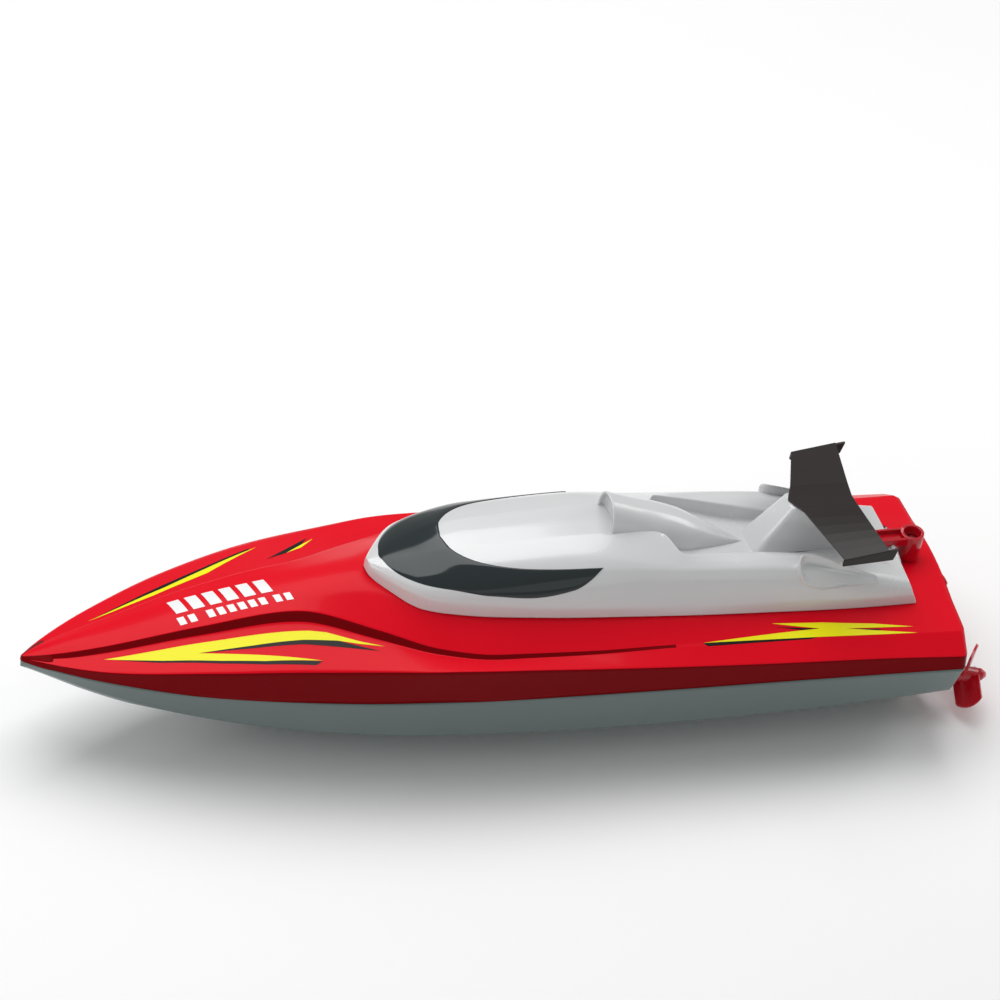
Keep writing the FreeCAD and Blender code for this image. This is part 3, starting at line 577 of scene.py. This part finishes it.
def hull_skin(paint):
    stations = [0.8, 3.2] + steps(6, 66, 10)[:-1] + steps(66, TRANSOM, 38)
    rows = []
    for station in stations:
        half = section(HULL_LINES, station)
        half[0] = (half[0][0] + SEAM_LEDGE, half[0][1])
        rows.append(subdivided(half + [(0, half[-1][1])], HULL_COUNTS))
    piece, width, count = grid_skin("hull_skin", stations, rows, paint["hull"], "hull")
    chine, keel = column_of(HULL_COUNTS, 1), column_of(HULL_COUNTS, 2)
    crease_columns(piece, {chine: 0.9, keel: 0.8}, width)
    crease_rows(piece, {0, count - 1}, width, 0.9)
    smooth_surface(piece, 2)
    thicken(piece, MOULDED_WALL)
    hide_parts("hull_bottom")


def bow_cap(paint):
    """Dark red band round the bow tip, from the seam up to the deck's riser, in the side band's
    painted-shade red.
    """
    stations = [0.1, 0.8, 2, 4, 6.5, 9, 11.2, 12.6, 13.4]
    proud = [0.1, 0.25, 0.3, 0.3, 0.3, 0.3, 0.25, 0.1, -0.3]
    verts = []
    for side in (1, -1):
        for station, lift in zip(stations, proud):
            seam, gunwale, foot, top = section(DECK_LINES, max(station, DECK_LINES[0][0]))[:4]
            band = [(seam[0] + lift, 0.0), (gunwale[0] + lift, gunwale[1]),
                    (foot[0] + lift, foot[1] + lift), (top[0] + 0.2 * lift, top[1] + 0.2 * lift),
                    (0.6 * top[0], top[1] + 0.1)]
            verts.extend(at(station, side * across, height) for across, height in band)
    width = len(band)
    half = len(stations) * width
    faces = quads(len(stations), width) + quads(len(stations), width, start=half)
    faces += [[c, c + 1, half + c + 1, half + c] for c in range(width - 1)]
    piece = mesh_object("bow_cap", verts, faces, paint["painted_shade_red"], "hull")
    fix_normals(piece)
    smooth_surface(piece, 1)
    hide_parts("bow_bumper")


def over_hatch(place):
    station = (BOW - place.x) / MM
    return HATCH_FROM < station < HATCH_TO and abs(place.y) < HATCH_HALF * MM


def deck_skin(paint):
    stations = [0.4, 3.2] + steps(6, 125, 17)[:-1] + steps(125, 230, 18)[:-1] + steps(230, TRANSOM, 24)
    rows = [crowned(subdivided(section(DECK_LINES, station), DECK_COUNTS)) for station in stations]
    piece, width, count = grid_skin("deck_skin", stations, rows, paint["red"], "hull",
                                    keep=lambda place: not over_hatch(place))
    gunwale, foot, top = (column_of(DECK_COUNTS, corner) for corner in (1, 2, 3))
    crease_columns(piece, {gunwale: 0.95, foot: 0.85, top: 0.9}, width)
    crease_rows(piece, {0, count - 1}, width, 0.9)
    # Faces of the side band, and of the riser forward of that station, get the darker red: painted
    # shade.
    piece.data.materials.append(paint["painted_shade_red"])
    for face in piece.data.polygons:
        lowest = min(v % width for v in face.vertices)
        highest = max(v % width for v in face.vertices)
        row = min(face.vertices) // width
        side_band = highest <= gunwale or lowest >= width - 1 - gunwale
        step_band = lowest == foot or highest == width - 1 - foot
        if highest - lowest == 1 and (side_band or (step_band and stations[row] < PAINTED_SHADE_RISER_END)):
            face.material_index = 1
    smooth_surface(piece, 2)
    thicken(piece, MOULDED_WALL)
    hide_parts("deck")
    return piece


def canopy_section(station):
    """Half section whose base clears the deck and, at the nose, the hinge's bead."""
    half = section(CANOPY_LINES, station)
    base = half[0][0]
    ahead = max(BEAD_STATION - station, 0.0)
    lowest = BEAD_HEIGHT - math.sqrt(max(BEAD_RADIUS_SQUARED - ahead ** 2, 0.0)) if ahead else 0.0
    half[0] = (base, max(deck_height(station, base) + CANOPY_GAP, lowest))
    return half + [line_at(rows, 1, station) for rows in (TRENCH_EDGE, TRENCH_FOOT, CANOPY_CENTRE)]


def clear_of_latch(station, side, height):
    """Moves a canopy point out of the latch's boss and the arm's sweep, and leans the stern."""
    reach = math.hypot(LATCH_STATION - station, side)
    if reach < SCALLOP:
        station = LATCH_STATION - math.sqrt(SCALLOP ** 2 - side ** 2)
    if reach < LATCH_SWEEP:
        height = min(height, SWEPT_HEIGHT)
    lean = min(max((height - LEAN_FROM) / LEAN_RISE, 0.0), 1.0)
    station -= STERN_LEAN * lean * max(station - LEAN_STATION, 0.0) / (CANOPY_END - LEAN_STATION)
    return station, side, height


def canopy_skin(paint):
    stations = ([161, 162.2, 164, 166.5] + steps(170, 215, 9) + steps(221, 291, 10)
                + [296, 299, 300.5, 302.5, 305, 307.5] + steps(313, 361, 8)
                + [365, 369, 374] + steps(380, CANOPY_END, 8))
    rows = []
    for station in stations:
        half = subdivided(canopy_section(station), CANOPY_COUNTS)
        rows.append([clear_of_latch(station, *point) for point in half])
    piece, width, count = grid_skin("canopy_skin", stations, rows, paint["silver"], "canopy")
    crease_columns(piece, {0: 0.6, column_of(CANOPY_COUNTS, 1): 0.25}, width)
    crease_trench(piece, stations, width)
    crease_rows(piece, {count - 1}, width, 0.85)
    smooth_surface(piece, 3)
    thicken(piece, MOULDED_WALL)
    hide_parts("canopy")
    return piece


def crease_trench(piece, stations, width):
    """Sharpens the edge and the foot of the trench, where it's open."""
    layer = piece.data.attributes["crease_edge"]
    lines = [column_of(CANOPY_COUNTS, corner) for corner in (5, 6)]
    for edge in piece.data.edges:
        first, second = sorted(edge.vertices)
        if second - first != width or port_column(first, width) not in lines:
            continue
        if TRENCH_FROM <= stations[first // width] < TRENCH_TO:
            layer.data[edge.index].value = 0.9


def scoop(paint):
    """Air scoop: a tapering half cone with a rounded rim and a shallow mouth."""
    around = 24
    mouth, (half, foot, crown) = SCOOP[0]
    loops = [(mouth + push, half - inset, foot, crown - inset) for inset, push in SCOOP_RIM]
    for station in steps(mouth + 1.5, SCOOP[-1][0], 24):
        loops.append((station, *line_at(SCOOP, 1, station)))
    verts = []
    for station, half, foot, crown in loops:
        for k in range(around + 1):
            angle = math.pi * k / around
            reach, rise = math.cos(angle), math.sin(angle)
            verts.append(at(station, half * math.copysign(abs(reach) ** 0.8, reach),
                            foot + (crown - foot) * abs(rise) ** 0.85))
    width = around + 1
    faces = quads(len(loops), width) + [list(range(width))]
    piece = mesh_object("scoop", verts, faces, paint["silver"], "canopy")
    fix_normals(piece)
    smooth_surface(piece, 1)


def pylon(paint):
    """Wing support with a blunt, flat nose that leans aft."""
    nose = 10
    levels = 9
    verts = []
    for level in range(levels + 1):
        share = level / levels
        flare = PYLON_FLARE * (1 - share) ** 6
        first, last, half, height = between(PYLON_FOOT, PYLON_HEAD, share)
        first -= flare
        half += flare
        ring = [(last, half)]
        for k in range(nose + 1):
            angle = math.pi * (k / nose - 0.5)
            across = math.copysign(abs(math.sin(angle)) ** PYLON_BLUNTNESS, math.sin(angle))
            back = 1 - abs(math.cos(angle)) ** PYLON_BLUNTNESS
            ring.append((first + 0.5 * half * back, -half * across))
        ring.append((last, -half))
        verts.extend(at(station, side, height) for station, side in ring)
    width = nose + 3
    faces = quads(levels + 1, width, ring=True)
    faces.append(list(range(levels * width, levels * width + width)))
    piece = mesh_object("pylon", verts, faces, paint["silver"], "canopy")
    fix_normals(piece)
    soften(piece, 0.8, 3)


def surface_tree(piece):
    return BVHTree.FromObject(piece, bpy.context.evaluated_depsgraph_get())


def top_of(tree, station, side, lift):
    """Point of a surface straight under a place, lifted along its normal."""
    place, normal = tree.ray_cast(at(station, side, OVER_EVERYTHING), Vector((0, 0, -1)))[:2]
    if normal.z < 0:
        normal = -normal
    return place + normal * lift * MM


def side_vents(paint, tree):
    """Raised teardrop frames on the canopy's shoulders."""
    outline = [along(VENT, k / VENT_POINTS) for k in range(VENT_POINTS)]
    rises = [along(VENT, k / VENT_POINTS, VENT_RISE) for k in range(VENT_POINTS)]
    width = 4
    last = (VENT_POINTS - 1) * width
    faces = quads(VENT_POINTS, width) + [[last + c, last + c + 1, c + 1, c] for c in range(width - 1)]
    faces.append(list(range(width - 1, VENT_POINTS * width, width)))
    for name, side in (("port", 1), ("starboard", -1)):
        verts = []
        for (station, offset), rise in zip(outline, rises):
            outer = top_of(tree, station, side * offset, -VENT_ROOT)
            top = outer.z + (rise + VENT_ROOT) * MM
            inset = VENT_RIM / math.dist((station, offset), VENT_MIDDLE)
            lip = between((station, offset), VENT_MIDDLE, inset)
            bottom = between((station, offset), VENT_MIDDLE, VENT_SLOPE * inset)
            rim, inner_rim = at(station, side * offset, 0), at(lip[0], side * lip[1], 0)
            rim.z = inner_rim.z = top
            verts.extend([outer, rim, inner_rim, top_of(tree, bottom[0], side * bottom[1], VENT_FLOOR)])
        piece = mesh_object("side_vent_" + name, verts, faces, paint["silver"], "canopy")
        fix_normals(piece)
        layer = piece.data.attributes.new("crease_edge", "FLOAT", "EDGE")
        for edge in piece.data.edges:
            first, second = edge.vertices
            if first % width == second % width:
                layer.data[edge.index].value = 0.6
        smooth_surface(piece, 2)


def wing(paint):
    """Folded wing with flat panels and a plate hanging from each tip."""
    rows = [(-offset, lead, trail) for offset, lead, trail in WING[:0:-1]] + WING
    strips = 6
    verts = []
    for first, second in zip(rows, rows[1:]):
        for k in range(strips):
            verts.extend(wing_ring(first, second, k / strips))
    verts.extend(wing_ring(rows[-2], rows[-1], 1.0))
    end = len(verts)
    faces = quads(end // 4, 4, ring=True)
    faces += [[0, 1, 2, 3], [end - 1, end - 2, end - 3, end - 4]]
    tip = WING[-1][0]
    for side in (-1, 1):
        start = len(verts)
        for offset in (tip - END_PLATE_WIDTH, tip + 0.02):
            verts.extend(at(station, side * offset, height) for station, height in END_PLATE)
        faces += quads(2, 4, start, ring=True)
        faces += [[start + c for c in range(4)], [start + 4 + c for c in range(4)]]
    piece = mesh_object("wing_plate", verts, faces, paint["wing"], "canopy")
    fix_normals(piece)
    soften(piece, 0.35, 2)
    for face in piece.data.polygons:
        face.use_smooth = False
    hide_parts("wing")


def wing_ring(first, second, share):
    """Corners of the wing's section at a share of the way between two rows."""
    offset = first[0] + (second[0] - first[0]) * share
    lead = between(first[1], second[1], share)
    trail = between(first[2], second[2], share)
    return [at(lead[0], offset, lead[1]), at(trail[0], offset, trail[1]),
            at(trail[0], offset, trail[1] - 0.6 * WING_THICKNESS),
            at(lead[0] + 1.5, offset, lead[1] - WING_THICKNESS)]


def screen_band(paint, tree):
    """Windscreen: a band between two outlines, laid on the canopy."""
    spans = 60
    across = 8
    verts = []
    for r in range(-spans, spans + 1):
        side = 1 if r >= 0 else -1
        outer = along(SCREEN_OUTER, abs(r) / spans)
        inner = along(SCREEN_INNER, abs(r) / spans)
        for c in range(across + 1):
            station, offset = between(outer, inner, c / across)
            lift = SCREEN_LIFT if 0 < c < across else SCREEN_EDGE_LIFT
            verts.append(top_of(tree, station, side * offset, lift))
    faces = quads(2 * spans + 1, across + 1)
    piece = mesh_object("screen_band", verts, faces, paint["glass"], "canopy")
    fix_normals(piece)
    thicken(piece, SCREEN_WALL)
    smooth_surface(piece, 1)
    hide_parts("windscreen")


def along(points, share, values=None):
    """Point at a share of an outline's length, or the value carried there."""
    knots = [0.0]
    for a, b in zip(points, points[1:]):
        knots.append(knots[-1] + math.dist(a, b))
    want = share * knots[-1]
    if values:
        return blend_between(knots, values, want)
    return (blend_between(knots, [p[0] for p in points], want),
            blend_between(knots, [p[1] for p in points], want))


# Graphics

def decal(name, outline, tree, paint, lift):
    """Thin vinyl shape laid on the deck, split finely enough to follow it."""
    mesh = bmesh.new()
    corners = [mesh.verts.new((station, side, 0)) for station, side in outline]
    mesh.faces.new(corners).normal_update()
    bmesh.ops.triangulate(mesh, faces=mesh.faces[:])
    for _ in range(4):
        long_edges = [edge for edge in mesh.edges if edge.calc_length() > LONGEST_DECAL_EDGE]
        if long_edges:
            bmesh.ops.subdivide_edges(mesh, edges=long_edges, cuts=1)
            bmesh.ops.triangulate(mesh, faces=mesh.faces[:])
    for vert in mesh.verts:
        vert.co = top_of(tree, vert.co.x, vert.co.y, lift)
    data = bpy.data.meshes.new(name)
    mesh.to_mesh(data)
    mesh.free()
    piece = new_piece(name, data, paint, "hull")
    fix_normals(piece)


def graphics(paint, tree):
    for number, outline in enumerate(YELLOW):
        decal("stripe_yellow_%d" % number, outline, tree, paint["yellow"], UPPER_DECAL)
    for number, outline in enumerate(BLACK):
        decal("stripe_black_%d" % number, outline, tree, paint["black"], LOWER_DECAL)
    number = 0
    for near, far, length, stations in BAR_ROWS:
        slant = BAR_SLANT * (far - near) / SLANTED_WIDTH
        for station in stations:
            number += 1
            outline = [(station, near), (station + length, near),
                       (station + length + slant, far), (station + slant, far)]
            decal("speed_bar_%d" % number, outline, tree, paint["white"], UPPER_DECAL)


# Hard parts keep their CAD shape and gain rounded edges.

def soften(piece, width, segments):
    """Rounds the sharp edges of a piece."""
    modifier = piece.modifiers.new("round", "BEVEL")
    modifier.width = width * MM
    modifier.segments = segments
    modifier.limit_method = "ANGLE"
    modifier.angle_limit = math.radians(32)
    modifier.harden_normals = True


def refined(node, body, paint, width):
    """Copy of a CAD part with clean faces and rounded edges."""
    bm = bmesh.new()
    bm.from_mesh(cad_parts[node].data)
    bmesh.ops.remove_doubles(bm, verts=bm.verts, dist=1e-5)
    bmesh.ops.dissolve_limit(bm, angle_limit=math.radians(1.0), verts=bm.verts, edges=bm.edges)
    data = bpy.data.meshes.new(node + "_shape")
    bm.to_mesh(data)
    bm.free()
    piece = new_piece(node + "_shape", data, paint, body)
    soften(piece, width, 2)
    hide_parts(node)


def repaint(node, paint):
    """Gives a CAD part its material."""
    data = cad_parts[node].data
    for slot in range(len(data.materials)):
        data.materials[slot] = paint


def hard_parts(paint):
    refined("hatch_latch", "latch", paint["part_red"], 0.45)
    refined("latch_screw", "hull", paint["steel"], 0.15)
    for side in ("port", "starboard"):
        body = "drive_" + side
        refined("propeller_" + side, body, paint["part_red"], 0.3)
        refined("prop_nut_" + side, body, paint["part_red"], 0.3)
        refined("shaft_strut_" + side, "hull", paint["part_red"], 0.4)
        refined("coupling_" + side, body, paint["alloy"], 0.3)
        refined("motor_end_" + side, "hull", paint["tray"], 0.25)
        refined("motor_mount_" + side, "hull", paint["alloy"], 0.3)


CARRIED = {
    "steel": ["board_screw_1", "board_screw_2", "board_screw_3", "board_screw_4",
              "wing_screw_1", "wing_screw_2"],
    "clear": ["inner_hatch"],
    "seal": ["hatch_seal"],
    "tray": ["battery_tray", "board_mount"],
    "sleeve": ["battery_pack"],
    "strap": ["battery_strap"],
    "plug": ["battery_plug"],
    "board": ["circuit_board"],
    "alloy": ["heat_sink", "radio_module"],
    "wire_red": ["battery_lead_red"],
    "wire_black": ["battery_lead_black"],
    "knob": ["hatch_screw_1", "hatch_screw_2", "hatch_screw_3", "hatch_screw_4"],
}


def carried_parts(paint):
    for colour, names in CARRIED.items():
        for name in names:
            repaint(name, paint[colour])
    for side in ("port", "starboard"):
        for name, colour in (("prop_shaft_", "steel"), ("motor_shaft_", "steel"),
                             ("stern_tube_", "brass"), ("motor_", "zinc")):
            repaint(name + side, paint[colour])
        for number in (1, 2):
            repaint("mount_screw_%s_%d" % (side, number), paint["steel"])
        for colour in ("red", "black"):
            repaint("motor_lead_%s_%s" % (side, colour), paint["wire_" + colour])


# Floor, light and camera

def camera():
    """Camera on the photograph's line of sight, so far off that it sees no perspective."""
    back = VIEW_RIGHT.cross(VIEW_UP)
    target = at(0, 0, 0) + VIEW_RIGHT * VIEW_CENTRE[0] * MM + VIEW_UP * VIEW_CENTRE[1] * MM
    data = bpy.data.cameras.new("camera")
    data.sensor_width = 36.0
    data.lens = data.sensor_width * CAMERA_DISTANCE / VIEW_WIDTH
    data.clip_end = 200.0
    seen = new_object("camera", data)
    turn = Matrix((VIEW_RIGHT, VIEW_UP, back)).transposed()
    seen.matrix_world = Matrix.Translation(target + back * CAMERA_DISTANCE) @ turn.to_4x4()
    bpy.context.scene.camera = seen


def area_light(name, place, target, size, power):
    data = bpy.data.lights.new(name, "AREA")
    data.shape = "RECTANGLE"
    data.size, data.size_y = size
    data.energy = power
    lamp = new_object(name, data)
    lamp.location = place
    lamp.rotation_euler = (Vector(target) - Vector(place)).to_track_quat("-Z", "Y").to_euler()


def studio():
    world = bpy.data.worlds.new("studio")
    bpy.context.scene.world = world
    world.use_nodes = True
    backdrop = world.node_tree.nodes["Background"]
    backdrop.inputs["Color"].default_value = (1, 1, 1, 1)
    backdrop.inputs["Strength"].default_value = WORLD_STRENGTH
    for lamp in LAMPS:
        area_light(*lamp)
    bpy.context.scene.view_settings.view_transform = "Standard"


def floor():
    bpy.ops.mesh.primitive_plane_add(size=200, location=(0, 0, 0))
    plane = bpy.context.object
    plane.name = "floor"
    plane.data.materials.append(material("floor_pale", (0.97, 0.97, 0.97), 0.6, shade=0.99,
                                         noise=0.02, scale=6.0))


def main():
    paint = paints()
    camera()
    studio()
    floor()
    hull_skin(paint)
    deck = deck_skin(paint)
    bow_cap(paint)
    canopy = canopy_skin(paint)
    scoop(paint)
    pylon(paint)
    wing(paint)
    hard_parts(paint)
    carried_parts(paint)
    bpy.context.view_layer.update()
    canopy_top = surface_tree(canopy)
    side_vents(paint, canopy_top)
    screen_band(paint, canopy_top)
    graphics(paint, surface_tree(deck))


main()
